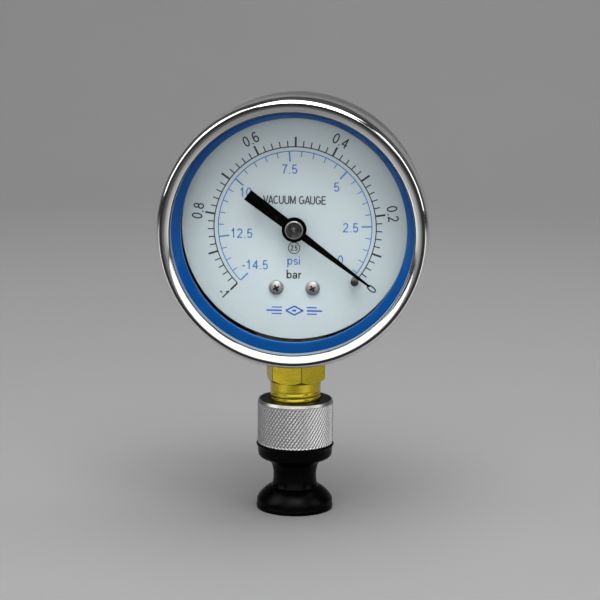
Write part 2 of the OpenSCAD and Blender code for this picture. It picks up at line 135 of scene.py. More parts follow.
def new_object(name, vertices, faces, smooth=32):
    """A mesh object with outward normals, merged points and edges sharper than the smooth angle kept."""
    mesh = bpy.data.meshes.new(name)
    mesh.from_pydata([Vector(v) * MM for v in vertices], [], faces)
    shape = bmesh.new()
    shape.from_mesh(mesh)
    bmesh.ops.remove_doubles(shape, verts=shape.verts, dist=MERGE_DISTANCE)
    bmesh.ops.dissolve_degenerate(shape, edges=shape.edges, dist=MERGE_DISTANCE / 10)
    bmesh.ops.recalc_face_normals(shape, faces=shape.faces)
    shape.to_mesh(mesh)
    shape.free()
    piece = bpy.data.objects.new(name, mesh)
    scene.collection.objects.link(piece)
    shade(piece, smooth)
    return piece


def shade(piece, angle):
    mesh = piece.data
    mesh.polygons.foreach_set("use_smooth", [True] * len(mesh.polygons))
    mesh.set_sharp_from_angle(angle=math.radians(angle))
    mesh.update()


def sharpen(piece, above, angle):
    """Keeps the edges above a height sharp where they turn by more than the angle."""
    shape = bmesh.new()
    shape.from_mesh(piece.data)
    for edge in shape.edges:
        if min(v.co.z for v in edge.verts) > above * MM and edge.calc_face_angle(0) > math.radians(angle):
            edge.smooth = False
    shape.to_mesh(piece.data)
    shape.free()


def lathe(name, profile, place, steps, relief=None, smooth=32, at=(0, 0)):
    """Turns a closed profile of (radius, height) points; relief(angle, r, h) may change a radius."""
    vertices = []
    for i in range(steps):
        angle = 2 * math.pi * i / steps
        for r, h in profile:
            radius = relief(angle, r, h) if relief else r
            vertices.append(place(at[0] + radius * math.cos(angle), at[1] + radius * math.sin(angle), h))
    count = len(profile)
    faces = []
    for i in range(steps):
        a, b = i * count, (i + 1) % steps * count
        for j in range(count):
            k = (j + 1) % count
            if profile[j][0] or profile[k][0]:
                faces.append((a + j, a + k, b + k, b + j))
    return new_object(name, vertices, faces, smooth)


def cylinder(name, radius, low, high, place, steps, at=(0, 0)):
    """A plain solid to cut with."""
    return lathe(name, [(0, low), (radius, low), (radius, high), (0, high)], place, steps, at=at)


def rounded(corners, steps=6):
    """A closed outline from (x, y, radius) corners, with each corner turned into an arc of that radius."""
    outline = []
    for i, (x, y, radius) in enumerate(corners):
        corner = Vector((x, y))
        if not radius:
            outline.append((x, y))
            continue
        back = (Vector(corners[i - 1][:2]) - corner).normalized()
        ahead = (Vector(corners[(i + 1) % len(corners)][:2]) - corner).normalized()
        half = back.angle(ahead) / 2
        centre = corner + (back + ahead).normalized() * radius / math.sin(half)
        first = corner + back * radius / math.tan(half) - centre
        last = corner + ahead * radius / math.tan(half) - centre
        start = math.atan2(first.y, first.x)
        sweep = (math.atan2(last.y, last.x) - start + math.pi) % (2 * math.pi) - math.pi
        for k in range(steps + 1):
            angle = start + sweep * k / steps
            outline.append((centre.x + radius * math.cos(angle), centre.y + radius * math.sin(angle)))
    return outline


def polar(radius, angle):
    return radius * math.cos(math.radians(angle)), radius * math.sin(math.radians(angle))


def oval(cx, cy, rx, ry, start, end, steps=12):
    """Points of an elliptic arc, angles in degrees."""
    points = []
    for k in range(steps + 1):
        angle = math.radians(start + (end - start) * k / steps)
        points.append((cx + rx * math.cos(angle), cy + ry * math.sin(angle)))
    return points


def arc(centre, radius, start, end, steps):
    return oval(*centre, radius, radius, start, end, steps)


def curve_through(points, steps=6):
    """A smooth curve through open points, by Catmull-Rom."""
    ends = [points[0]] + list(points) + [points[-1]]
    smooth = []
    for i in range(1, len(ends) - 2):
        before, start, end, after = (Vector(p) for p in ends[i - 1:i + 3])
        for k in range(steps):
            t = k / steps
            square = (2 * before - 5 * start + 4 * end - after) * t ** 2
            cube = (3 * start - before - 3 * end + after) * t ** 3
            point = 0.5 * (2 * start + (end - before) * t + square + cube)
            smooth.append((point.x, point.y))
    smooth.append(tuple(points[-1]))
    return smooth


def prism(name, outline, place, low, high, taper=1.0):
    """A straight or tapered prism on a flat outline."""
    vertices = [place(x * taper, y * taper, low) for x, y in outline]
    vertices += [place(x, y, high) for x, y in outline]
    n = len(outline)
    faces = [tuple(range(n)), tuple(range(n, 2 * n))]
    faces += [(i, (i + 1) % n, n + (i + 1) % n, n + i) for i in range(n)]
    return new_object(name, vertices, faces)


def boolean(piece, tool, operation, smooth=32):
    """Applies a boolean with a second object, which is used up."""
    change = piece.modifiers.new("cut", "BOOLEAN")
    change.operation = operation
    change.solver = "EXACT"
    change.object = tool
    bpy.context.view_layer.update()
    result = piece.evaluated_get(bpy.context.evaluated_depsgraph_get())
    mesh = bpy.data.meshes.new_from_object(result)
    piece.modifiers.clear()
    piece.data = mesh
    bpy.data.objects.remove(tool)
    shade(piece, smooth)
    return piece


def join(name, parts):
    """One object from several, whose shells don't touch."""
    bpy.ops.object.select_all(action="DESELECT")
    for part in parts:
        part.select_set(True)
    bpy.context.view_layer.objects.active = parts[0]
    bpy.ops.object.join()
    parts[0].name = name
    return parts[0]


def coat(piece, material):
    """Makes one material the only one of a piece."""
    piece.data.materials.clear()
    piece.data.materials.append(material)


def coat_faces(piece, material, chosen):
    """Adds a second material, for the chosen faces."""
    piece.data.materials.append(material)
    for face in piece.data.polygons:
        if chosen(face):
            face.material_index = 1


def from_dial_axis(face):
    x, _, z = face.center / MM
    return math.hypot(x, z - DIAL_Z)


def dress(piece, body, slot, *replaced):
    """Gives a new piece the material of its slot and its body, and hides the CAD nodes that it stands for."""
    coat(piece, MATERIALS[slot])
    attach(piece, body)
    if replaced:
        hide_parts(*replaced)
    return piece


# ---- material helpers ----

class Surface:
    """A Principled material and short ways to add procedural detail, in millimetres of object space."""

    def __init__(self, name, colour, roughness, metallic=0.0, **sockets):
        self.material = bpy.data.materials.new(name)
        self.material.use_nodes = True
        self.tree = self.material.node_tree
        self.shader = self.tree.nodes["Principled BSDF"]
        self.shader.inputs["Base Color"].default_value = (*colour, 1)
        self.shader.inputs["Roughness"].default_value = roughness
        self.shader.inputs["Metallic"].default_value = metallic
        for socket, value in sockets.items():
            self.shader.inputs[socket.replace("_", " ")].default_value = value
        coordinates = self.node("ShaderNodeTexCoord").outputs["Object"]
        scale = self.node("ShaderNodeVectorMath", operation="SCALE")
        self.link(coordinates, scale.inputs[0])
        scale.inputs["Scale"].default_value = 1 / MM
        self.position = scale.outputs[0]

    def node(self, kind, **settings):
        made = self.tree.nodes.new(kind)
        for key, value in settings.items():
            setattr(made, key, value)
        return made

    def link(self, source, target):
        self.tree.links.new(source, target)

    def maths(self, operation, a, b=None):
        made = self.node("ShaderNodeMath", operation=operation)
        for socket, value in zip(made.inputs, (a, b)):
            if value is None:
                continue
            if isinstance(value, (int, float)):
                socket.default_value = value
            else:
                self.link(value, socket)
        return made.outputs[0]

    def turned(self, centre, about):
        """Radius, height and the sine of the angle round an axis, so that a noise runs in rings."""
        shift = self.node("ShaderNodeVectorMath", operation="SUBTRACT")
        self.link(self.position, shift.inputs[0])
        shift.inputs[1].default_value = centre
        split = self.node("ShaderNodeSeparateXYZ")
        self.link(shift.outputs[0], split.inputs[0])
        x, height, y = {"Y": ("X", "Y", "Z"), "Z": ("X", "Z", "Y")}[about]
        x, height, y = split.outputs[x], split.outputs[height], split.outputs[y]
        squares = self.maths("ADD", self.maths("MULTIPLY", x, x), self.maths("MULTIPLY", y, y))
        radius = self.maths("SQRT", squares)
        joined = self.node("ShaderNodeCombineXYZ")
        self.link(radius, joined.inputs[0])
        self.link(height, joined.inputs[1])
        sine = self.maths("DIVIDE", y, self.maths("ADD", radius, 0.01))
        self.link(sine, joined.inputs[2])
        return joined.outputs[0]

    def along(self, axis):
        split = self.node("ShaderNodeSeparateXYZ")
        self.link(self.position, split.inputs[0])
        return split.outputs[axis]

    def noise(self, scale, detail=3, roughness=0.55, coordinates=None, stretch=None):
        made = self.node("ShaderNodeTexNoise")
        made.inputs["Scale"].default_value = scale
        made.inputs["Detail"].default_value = detail
        made.inputs["Roughness"].default_value = roughness
        source = coordinates or self.position
        if stretch:
            mapping = self.node("ShaderNodeMapping")
            mapping.inputs["Scale"].default_value = stretch
            self.link(source, mapping.inputs[0])
            source = mapping.outputs[0]
        self.link(source, made.inputs["Vector"])
        return made.outputs["Fac"]

    def spread(self, value, low, high, start=0.3, end=0.7):
        made = self.node("ShaderNodeMapRange")
        self.link(value, made.inputs["Value"])
        for socket, number in zip(("From Min", "From Max", "To Min", "To Max"), (start, end, low, high)):
            made.inputs[socket].default_value = number
        return made.outputs[0]

    def vary_roughness(self, value, low, high):
        self.link(self.spread(value, low, high), self.shader.inputs["Roughness"])

    def vary_colour(self, value, first, second, start=0.3, end=0.7):
        ramp = self.node("ShaderNodeValToRGB")
        ramp.color_ramp.elements[0].position = start
        ramp.color_ramp.elements[1].position = end
        ramp.color_ramp.elements[0].color = (*first, 1)
        ramp.color_ramp.elements[1].color = (*second, 1)
        self.link(value, ramp.inputs[0])
        self.link(ramp.outputs[0], self.shader.inputs["Base Color"])
        return ramp.color_ramp

    def bump(self, value, height):
        """Relief of about that height in millimetres."""
        made = self.node("ShaderNodeBump")
        made.inputs["Strength"].default_value = 1.0
        made.inputs["Distance"].default_value = height * MM
        self.link(value, made.inputs["Height"])
        self.link(made.outputs[0], self.shader.inputs["Normal"])

    def mix_shaders(self, share, first, second):
        """Makes the surface a mixture, with that share of the second shader."""
        mix = self.node("ShaderNodeMixShader")
        for source, socket in zip((share, first, second), mix.inputs):
            self.link(source, socket)
        self.link(mix.outputs[0], self.tree.nodes["Material Output"].inputs["Surface"])


DIAL_CENTRE = (0, 0, DIAL_Z)
STEM_CENTRE = (0, 0, 0)


def satin_stainless():
    s = Surface("satin_stainless", (0.50, 0.50, 0.51), 0.34, 1.0)
    rings = s.noise(5, 4, coordinates=s.turned(DIAL_CENTRE, "Y"))
    s.vary_roughness(rings, 0.29, 0.39)
    s.bump(rings, 0.005)
    return s.material


def polished_stainless():
    s = Surface("polished_stainless", (0.80, 0.795, 0.78), 0.07, 1.0)
    rings = s.noise(3, 4, coordinates=s.turned(DIAL_CENTRE, "Y"))
    s.vary_roughness(rings, 0.045, 0.12)
    s.bump(s.noise(0.35, 2), 0.008)
    return s.material


# near-black: painted shade in the bezel's seam groove, a painted shadow line round its opening, and the
# colour of the dark screen
def painted_shade_and_screen_black():
    s = Surface("painted_shade_and_screen_black", (0.012, 0.012, 0.013), 0.45)
    s.vary_roughness(s.noise(4), 0.35, 0.6)
    return s.material


def window_glass():
    """Clear glass that lets the lamps' light through to the dial."""
    s = Surface("window_glass", (0.975, 0.99, 0.985), 0.0, 0.0, Transmission_Weight=1.0, IOR=1.08)
    clear = s.node("ShaderNodeBsdfTransparent")
    clear.inputs[0].default_value = (0.97, 0.98, 0.98, 1)
    to_a_lamp = s.node("ShaderNodeLightPath").outputs["Is Shadow Ray"]
    s.mix_shaders(to_a_lamp, s.shader.outputs[0], clear.outputs[0])
    return s.material


def pale_gasket():
    s = Surface("pale_gasket", (0.22, 0.27, 0.31), 0.4)
    s.vary_roughness(s.noise(3), 0.3, 0.5)
    return s.material


def blue_plastic():
    """Deep blue with painted light and shade: darkened low down as painted shade, and paler along the ring's
    rear edge as painted light.
    """
    s = Surface("blue_plastic", (0.0015, 0.054, 0.235), 0.22, 0.0, Specular_IOR_Level=0.01)
    # painted shade: the colour darkens towards the bottom of the ring
    height = s.spread(s.along("Z"), 0, 0.5, DIAL_Z - 29, DIAL_Z - 8)
    # painted light: the colour pales over the last 1.3 mm before the ring's rear edge
    rim = s.spread(s.along("Y"), 0, 1, -RING_REAR - 1.3, -RING_REAR)
    cloud = s.maths("MULTIPLY", s.noise(0.25, 3), 0.06)
    ramp = s.vary_colour(s.maths("ADD", s.maths("MAXIMUM", height, rim), cloud),
                         (0.0014, 0.036, 0.140), (0.09, 0.19, 0.33), 0, 1.0)
    middle = ramp.elements.new(0.5)
    middle.color = (0.0016, 0.056, 0.242, 1)
    s.bump(s.noise(0.5, 2), 0.006)
    return s.material


def dial_paint():
    s = Surface("dial_paint", (0.465, 0.53, 0.555), 0.5)
    cloud = s.noise(0.12, 3)
    s.vary_colour(cloud, (0.455, 0.520, 0.545), (0.475, 0.540, 0.562))
    s.vary_roughness(s.noise(2, 4), 0.42, 0.55)
    s.bump(s.noise(6, 3), 0.006)
    return s.material


def print_ink(name, colour):
    s = Surface(name, colour, 0.5)
    s.vary_colour(s.noise(4, 3), tuple(c * 0.85 for c in colour), tuple(c * 1.15 for c in colour))
    return s.material


def bright_steel():
    s = Surface("bright_steel", (0.33, 0.32, 0.305), 0.36, 1.0)
    s.vary_roughness(s.noise(3, 4), 0.32, 0.46)
    s.bump(s.noise(2, 3), 0.01)
    return s.material


def grey_rubber():
    s = Surface("grey_rubber", (0.045, 0.045, 0.047), 0.6)
    s.vary_colour(s.noise(0.6, 4), (0.035, 0.035, 0.037), (0.06, 0.06, 0.062))
    s.bump(s.noise(5, 4), 0.02)
    return s.material


def brass():
    s = Surface("brass", (0.58, 0.46, 0.035), 0.28, 1.0)
    tarnish = s.noise(0.3, 4)
    s.vary_colour(tarnish, (0.50, 0.42, 0.03), (0.64, 0.49, 0.04))
    rings = s.noise(3, 3, coordinates=s.turned(STEM_CENTRE, "Z"), stretch=(0.2, 1.0, 1.0))
    s.vary_roughness(rings, 0.22, 0.36)
    s.bump(rings, 0.005)
    return s.material


# darker brass for the hexagon's rounded corners: painted shade that marks a dark line where two facets meet
def painted_corner_shade_brass():
    s = Surface("painted_corner_shade_brass", (0.22, 0.18, 0.015), 0.4, 1.0)
    s.vary_colour(s.noise(0.6, 3), (0.17, 0.145, 0.012), (0.27, 0.22, 0.02))
    return s.material


def painted_shade_brass_inside():
    """Brass inside the case, painted nearly black as the shade in the case."""
    s = Surface("painted_shade_brass_inside", (0.045, 0.036, 0.012), 0.7)
    s.vary_colour(s.noise(0.4, 4), (0.038, 0.030, 0.010), (0.055, 0.044, 0.015))
    return s.material


def bronze():
    s = Surface("bronze", (0.60, 0.33, 0.13), 0.32, 1.0)
    s.vary_colour(s.noise(0.4, 4), (0.50, 0.27, 0.10), (0.68, 0.40, 0.17))
    s.vary_roughness(s.noise(3, 3), 0.25, 0.42)
    return s.material


def pointer_black():
    s = Surface("pointer_black", (0.001, 0.001, 0.001), 0.5, 0.0, Specular_IOR_Level=0.01)
    s.vary_roughness(s.noise(4, 3), 0.42, 0.6)
    s.bump(s.noise(9, 3), 0.006)
    return s.material


def dark_steel():
    s = Surface("dark_steel", (0.10, 0.095, 0.092), 0.2, 1.0)
    rings = s.noise(8, 3, coordinates=s.turned(DIAL_CENTRE, "Y"))
    s.vary_roughness(rings, 0.14, 0.3)
    s.bump(rings, 0.008)
    return s.material


def washer_rubber():
    s = Surface("washer_rubber", (0.022, 0.022, 0.024), 0.55)
    s.vary_roughness(s.noise(3), 0.45, 0.65)
    s.bump(s.noise(6, 3), 0.015)
    return s.material


def knurled_aluminium():
    s = Surface("knurled_aluminium", (0.47, 0.47, 0.475), 0.32, 1.0)
    s.vary_roughness(s.noise(2.5, 4), 0.26, 0.4)
    s.bump(s.noise(7, 3), 0.012)
    return s.material


def black_rubber():
    s = Surface("black_rubber", (0.001, 0.001, 0.0012), 0.28, 0.0, Specular_IOR_Level=0.045)
    s.vary_roughness(s.noise(0.5, 5, 0.65), 0.22, 0.34)
    s.bump(s.noise(4, 4), 0.012)
    return s.material


MATERIALS = {
    "satin_stainless": satin_stainless(),
    "polished_stainless": polished_stainless(),
    "window_glass": window_glass(),
    "pale_gasket": pale_gasket(),
    "blue_plastic": blue_plastic(),
    "dial_paint": dial_paint(),
    "bright_steel": bright_steel(),
    "grey_rubber": grey_rubber(),
    "brass": brass(),
    "bronze": bronze(),
    "pointer_black": pointer_black(),
    "dark_steel": dark_steel(),
    "washer_rubber": washer_rubber(),
    "knurled_aluminium": knurled_aluminium(),
    "black_rubber": black_rubber(),
}
PAINTED_SHADE_AND_SCREEN_BLACK = painted_shade_and_screen_black()
PAINTED_SHADE_BRASS_INSIDE = painted_shade_brass_inside()
PAINTED_CORNER_SHADE_BRASS = painted_corner_shade_brass()
BLACK_INK = print_ink("black_ink", (0.012, 0.013, 0.016))
GREY_INK = print_ink("grey_ink", (0.03, 0.034, 0.04))
BLUE_INK = print_ink("blue_ink", (0.055, 0.165, 0.46))
MARK_INK = print_ink("mark_ink", (0.008, 0.085, 0.42))

for part in frame["record"]["subparts"]:
    node_object = nodes[part["node"]]
    coat(node_object, MATERIALS[part["material_slot"]])
    shade(node_object, 30)


# ---- gauge head ----

def make_case():
    """Drawn shell with holes for the relief plug, for two screws in its back and for the stem."""
    inner = CASE_R - CASE_WALL
    profile = rounded([
        (0, -CASE_BACK, 0), (CASE_R, -CASE_BACK, 3), (CASE_R, CASE_RIM, 0.1), (inner, CASE_RIM, 0.1),
        (inner, CASE_WALL - CASE_BACK, 2.3), (0, CASE_WALL - CASE_BACK, 0)], 10)
    case = lathe("case_shell", profile, on_dial, 224)
    behind, inside = -12, -7
    below, above = 40, 46
    plug_r, screw_r, stem_r = 6, 1.6, 6.35
    holes = [cylinder("hole", plug_r, behind, inside, on_dial, 64, PLUG_AT)]
    holes += [cylinder("hole", screw_r, behind, inside, on_dial, 32, at) for at in CASE_SCREWS_AT]
    holes.append(cylinder("hole", stem_r, below, above, on_stem, 96))
    for hole in holes:
        boolean(case, hole, "DIFFERENCE")
    dress(case, "gauge", "satin_stainless", "case")


def make_bezel():
    """Polished ring, highest on its crest, with a fine seam where its lip is folded over there; the seam's
    groove is coated near-black as painted shade, and so is a thin band round the opening, as a painted
    shadow.
    """
    bore = BEZEL_R - 0.8
    lip_edge = 0.16
    lip_top = BEZEL_FRONT - INNER_FLANK
    lip_rear = BEZEL_FRONT - 1.1
    half_seam = 0.32
    seam_edge, seam_floor = 0.12, 0.42
    side_r, side_low = BEZEL_R - CREST_R, BEZEL_FRONT - OUTER_FLANK

    skirt = rounded([(bore, BEZEL_REAR, 0.1), (BEZEL_R, BEZEL_REAR, 0.35), (BEZEL_R, side_low, 0)])
    last = math.degrees(math.acos(half_seam / side_r))
    side = oval(CREST_R, side_low, side_r, OUTER_FLANK, 0, last, 26)[1:]
    seam = [(CREST_R + share * half_seam, BEZEL_FRONT - depth) for share, depth in (
        (0.8, seam_edge), (0.55, seam_floor), (-0.55, seam_floor), (-0.8, seam_edge))]

    # the face falls inward along an arc that ends just before the lip's edge
    lean = 2 * math.atan(INNER_FLANK / (CREST_R - OPENING_R))
    face_r = (CREST_R - OPENING_R) / math.sin(lean)
    first = 90 + math.degrees(half_seam / face_r)
    face = arc((CREST_R, BEZEL_FRONT - face_r), face_r, first, 90 + math.degrees(lean) - 4, 16)
    lip = [(OPENING_R + lip_edge, lip_top), (OPENING_R, lip_top - 0.12), (OPENING_R, lip_rear),
           (bore, lip_rear)]
    bezel = lathe("bezel_ring", skirt + side + seam + face + lip, on_dial, 288, smooth=30)
    dress(bezel, "gauge", "polished_stainless", "bezel")

    def in_shade(face):
        radius, front = from_dial_axis(face), -face.center.y / MM
        in_seam = abs(radius - CREST_R) < half_seam * 0.95 and front > BEZEL_FRONT - INNER_FLANK
        return in_seam or radius < OPENING_R + 0.2 and front < lip_top + 0.001

    # painted shade: the seam's groove and a thin band round the opening are coated near-black
    coat_faces(bezel, PAINTED_SHADE_AND_SCREEN_BLACK, in_shade)


def make_gasket():
    """Thin pale seal between the bezel's lip and the window."""
    low, high = box("window_gasket")
    inner = OPENING_R - 0.16
    corners = [(inner, -high.y), (high.x, -high.y), (high.x, -low.y), (inner, -low.y)]
    profile = rounded([(*corner, 0.04) for corner in corners])
    dress(lathe("lip_gasket", profile, on_dial, 256), "gauge", "pale_gasket", "window_gasket")


def make_dial_ring():
    """Blue spacer ring, a funnel from the window down to the dial."""
    front, rear = -ring_low.y, RING_REAR
    front_r, rear_r = 30.2, 28.6
    outer = BEZEL_R - 0.82
    skirt = CASE_R - 0.8
    step = CASE_RIM + GAP
    profile = rounded([
        (front_r, front, 0.3), (rear_r, rear, 0.12), (rear_r + 0.9, rear, 0.3), (skirt, CASE_RIM - 1, 0.3),
        (skirt, step, 0), (outer, step, 0), (outer, front, 0.1)])
    dress(lathe("blue_ring", profile, on_dial, 256), "gauge", "blue_plastic", "dial_ring")


def cross_recess(name, place, at, top, reach):
    """Cutter of a Phillips recess, narrower at its bottom."""
    wide, half = reach, reach * 0.3
    outline = [(wide, half), (half, half), (half, wide), (-half, wide), (-half, half), (-wide, half),
               (-wide, -half), (-half, -half), (-half, -wide), (half, -wide), (half, -half), (wide, -half)]
    turn = 28
    cosine, sine = polar(1, turn)
    turned = [(x * cosine - y * sine, x * sine + y * cosine) for x, y in outline]

    def local(x, y, h):
        return place(at[0] + x, at[1] + y, h)

    return prism(name, turned, local, top - reach * 0.8, top + 0.3, 0.3)


def pan_screw(name, place, at, seat, head_r, head_h, shank_r, shank_end):
    """A pan-head screw with a cross recess; seat is the height under its head."""
    dome_r = head_r * 1.55
    dome = arc((0, seat + head_h - dome_r), dome_r, 57, 90, 8)
    dome = [(r, h) for r, h in dome if r <= head_r * 0.86]
    profile = [(0, shank_end), (shank_r, shank_end), (shank_r, seat), (head_r * 0.94, seat),
               (head_r, seat + head_h * 0.1), (head_r, seat + head_h * 0.38)]
    profile += [(head_r * 0.96, seat + head_h * 0.55)] + dome
    head = lathe(name, profile, place, 64, at=at)
    recess = cross_recess(name + "_cut", place, at, seat + head_h, head_r * 0.6)
    return boolean(head, recess, "DIFFERENCE", 20)


def darken_recess(pair, places, head_r, low, high, height):
    """Dark steel on the faces of the cross recesses, between two heights, as painted shade in the recesses.
    """
    def in_recess(face):
        x, y, z = face.center / MM
        near = min(math.hypot(x - at_x, z - DIAL_Z - at_y) for at_x, at_y in places)
        return near < head_r * 0.62 and low < height(y) < high

    coat_faces(pair, MATERIALS["dark_steel"], in_recess)


def make_dial_screws():
    places = [(-4.68, -15.6), (4.68, -15.6)]
    seat, head_r, head_h = DIAL_S + GAP, 1.85, 1.3
    screws = [pan_screw("dial_screw", on_dial, at, seat, head_r, head_h, 0.75, 4.9) for at in places]
    pair = dress(join("dial_screw_pair", screws), "gauge", "bright_steel", "dial_screws")
    darken_recess(pair, places, head_r, seat + 0.1, seat + head_h - 0.28, lambda y: -y)


def make_case_screws():
    places = CASE_SCREWS_AT
    head_r, head_h = 2.7, 1.7
    screws = [pan_screw("case_screw", behind_case, at, GAP, head_r, head_h, 1.45, -5.98) for at in places]
    pair = dress(join("case_screw_pair", screws), "gauge", "bright_steel", "case_screws")
    darken_recess(pair, places, head_r, 0.1, head_h - 0.4, lambda y: y - CASE_BACK)


def make_stop_pin():
    low, high = box("stop_pin")
    at = ((low.x + high.x) / 2, (low.z + high.z) / 2 - DIAL_Z)
    top, seat, rear = -low.y, DIAL_S + GAP, -high.y
    shank_r, pin_r = 0.6, 1
    profile = rounded([(0, rear, 0), (shank_r, rear, 0), (shank_r, seat, 0), (pin_r, seat, 0.08),
                       (pin_r, top, 0.3), (0, top, 0)])
    pin = dress(lathe("pointer_stop", profile, on_dial, 48, at=at), "gauge", "bright_steel", "stop_pin")
    coat(pin, MATERIALS["dark_steel"])


def make_relief_plug():
    """Rubber plug with a shallow ring-shaped channel between its rim and a small knob."""
    low, high = box("relief_plug")
    back, front = high.y - CASE_BACK, low.y - CASE_BACK
    plug_r, rim_r = 5.98, 7.6
    channel = back - 0.45
    knob = back - 0.05
    profile = rounded([
        (0, front, 0), (plug_r, front, 0.3), (plug_r, GAP, 0), (rim_r, GAP, 0.15), (rim_r, back, 0.5),
        (5.2, back, 0.3), (4.8, channel, 0.3), (1.4, channel, 0.25), (1.1, knob, 0.25), (0, knob, 0)])
    dress(lathe("vent_plug", profile, behind_case, 96, at=PLUG_AT), "gauge", "grey_rubber", "relief_plug")


# ---- printing on the dial ----

INK = 0.03          # thickness of the printed lines
FACE = DIAL_S + 0.004


# Each character is its advance and its strokes, on a cap height of 1
LETTERS = {
    "0": (0.60, [oval(0.26, 0.5, 0.20, 0.445, 0, 360, 24)]),
    "1": (0.60, [[(0.10, 0.72), (0.20, 0.79), (0.29, 0.98), (0.29, 0)]]),
    "2": (0.60, [oval(0.26, 0.70, 0.19, 0.245, 170, -38) + [(0.06, 0.055), (0.48, 0.055)]]),
    "4": (0.60, [[(0.36, 0), (0.36, 0.93), (0.04, 0.29), (0.50, 0.29)]]),
    "5": (0.60, [[(0.44, 0.945), (0.13, 0.945), (0.08, 0.49)] + oval(0.26, 0.325, 0.20, 0.27, 135, -155)]),
    "6": (0.60, [oval(0.27, 0.50, 0.215, 0.445, 48, 180) + [(0.055, 0.32)],
                 oval(0.26, 0.315, 0.20, 0.26, 0, 360, 20)]),
    "7": (0.60, [[(0.04, 0.945), (0.47, 0.945), (0.32, 0.66), (0.23, 0.34), (0.19, 0)]]),
    "8": (0.60, [oval(0.26, 0.72, 0.165, 0.225, 0, 360, 20), oval(0.26, 0.29, 0.20, 0.235, 0, 360, 20)]),
    ".": (0.30, [[(0.12, 0), (0.12, 0.12)]]),
    "-": (0.38, [[(0.03, 0.36), (0.29, 0.36)]]),
    " ": (0.30, []),
    "V": (0.56, [[(0.02, 1), (0.27, 0.04), (0.52, 1)]]),
    "A": (0.58, [[(0.02, 0), (0.28, 0.96), (0.54, 0)], [(0.12, 0.30), (0.44, 0.30)]]),
    "C": (0.60, [oval(0.29, 0.5, 0.24, 0.445, 45, 315, 18)]),
    "U": (0.62, [[(0.06, 1), (0.06, 0.36)] + oval(0.28, 0.31, 0.22, 0.255, 180, 360)
                 + [(0.50, 0.36), (0.50, 1)]]),
    "M": (0.72, [[(0.06, 0), (0.06, 0.95), (0.33, 0.12), (0.60, 0.95), (0.60, 0)]]),
    "G": (0.66, [oval(0.29, 0.5, 0.24, 0.445, 45, 320, 18) + [(0.54, 0.20), (0.54, 0.46), (0.33, 0.46)]]),
    "E": (0.54, [[(0.47, 0.945), (0.06, 0.945), (0.06, 0.055), (0.48, 0.055)], [(0.06, 0.52), (0.43, 0.52)]]),
    "p": (0.62, [[(0.06, 0.68), (0.06, -0.28)], oval(0.27, 0.335, 0.20, 0.28, 0, 360, 20)]),
    "s": (0.54, [oval(0.23, 0.47, 0.16, 0.14, 35, 260) + oval(0.23, 0.195, 0.175, 0.14, 80, -145)]),
    "i": (0.22, [[(0.06, 0), (0.06, 0.66)], [(0.06, 0.84), (0.06, 0.96)]]),
    "b": (0.62, [[(0.06, 1), (0.06, 0)], oval(0.27, 0.335, 0.20, 0.28, 0, 360, 20)]),
    "a": (0.60, [[(0.07, 0.44)] + oval(0.25, 0.45, 0.165, 0.16, 150, 0) + [(0.415, 0.12), (0.44, 0.02)],
                 oval(0.225, 0.19, 0.18, 0.135, 0, 360, 18)]),
    "r": (0.32, [[(0.06, 0), (0.06, 0.66)], [(0.06, 0.34)] + oval(0.25, 0.40, 0.18, 0.20, 170, 75, 6)]),
}


class Print:
    """Collects inked strokes on the dial and makes one mesh of them."""

    def __init__(self):
        self.vertices = []
        self.faces = []

    def stroke(self, points, width):
        """Ribbons along the points, one for each run between sharp turns, such as those of an M."""
        points = [Vector(p) for p in points]
        run = points[:1]
        for i in range(1, len(points) - 1):
            into, out = (points[i] - points[i - 1]).normalized(), (points[i + 1] - points[i]).normalized()
            run.append(points[i])
            if into.dot(out) < 0.3:
                self.ribbon(run[:-1] + [run[-1] + into * width * 0.35], width)
                run = [points[i] - out * width * 0.35]
        self.ribbon(run + points[-1:], width)

    def ribbon(self, points, width):
        """A flat band along the points; a first point that is also the last closes it."""
        closed = (points[0] - points[-1]).length < 1e-6
        if closed:
            points = points[:-1]
        n = len(points)
        first = len(self.vertices)
        for i, point in enumerate(points):
            before = points[i - 1] if closed or i else point * 2 - points[1]
            after = points[(i + 1) % n] if closed or i < n - 1 else point * 2 - points[i - 1]
            into, out = (point - before).normalized(), (after - point).normalized()
            along = (into + out).normalized() if (into + out).length > 1e-6 else into
            side = Vector((-along.y, along.x))
            mitre = 1 / max(0.55, abs(Vector((-into.y, into.x)).dot(side)))
            offset = side * (width / 2 * mitre)
            for edge in (point + offset, point - offset):
                self.vertices.append(on_dial(edge.x, edge.y, FACE + INK))
                self.vertices.append(on_dial(edge.x, edge.y, FACE))
        for i in range(n if closed else n - 1):
            a, b = first + 4 * i, first + 4 * ((i + 1) % n)
            self.faces += [(a, b, b + 2, a + 2), (a + 1, a + 3, b + 3, b + 1), (a, a + 1, b + 1, b),
                           (a + 2, b + 2, b + 3, a + 3)]
        if not closed:
            last = first + 4 * (n - 1)
            self.faces += [(first, first + 2, first + 3, first + 1), (last, last + 1, last + 3, last + 2)]

    def tick(self, angle, start, end, width):
        direction = Vector((math.cos(math.radians(angle)), math.sin(math.radians(angle))))
        self.stroke([direction * start, direction * end], width)

    def text(self, words, at, height, squeeze=1.0, turn=0.0, width=0.27):
        """Words centred at a point of the dial."""
        advance = 0
        strokes = []
        for letter in words:
            step, parts = LETTERS[letter]
            strokes += [[(x + advance, y) for x, y in part] for part in parts]
            advance += step
        middle = (advance - 0.08) / 2
        turned = Matrix.Rotation(math.radians(turn), 2)
        for part in strokes:
            placed = [turned @ Vector(((x - middle) * height * squeeze, (y - 0.5) * height)) for x, y in part]
            self.stroke([(p.x + at[0], p.y + at[1]) for p in placed], width)

    def make(self, name, ink):
        piece = dress(new_object(name, self.vertices, self.faces), "gauge", "dial_paint")
        coat(piece, ink)


SCALE_START = -37.5     # the printed scale begins beside the resting pointer
SCALE_END = 225


def bar_angle(value):
    return 270 * value - 45


def psi_angle(value):
    return 270 * value / 14.5 - 45


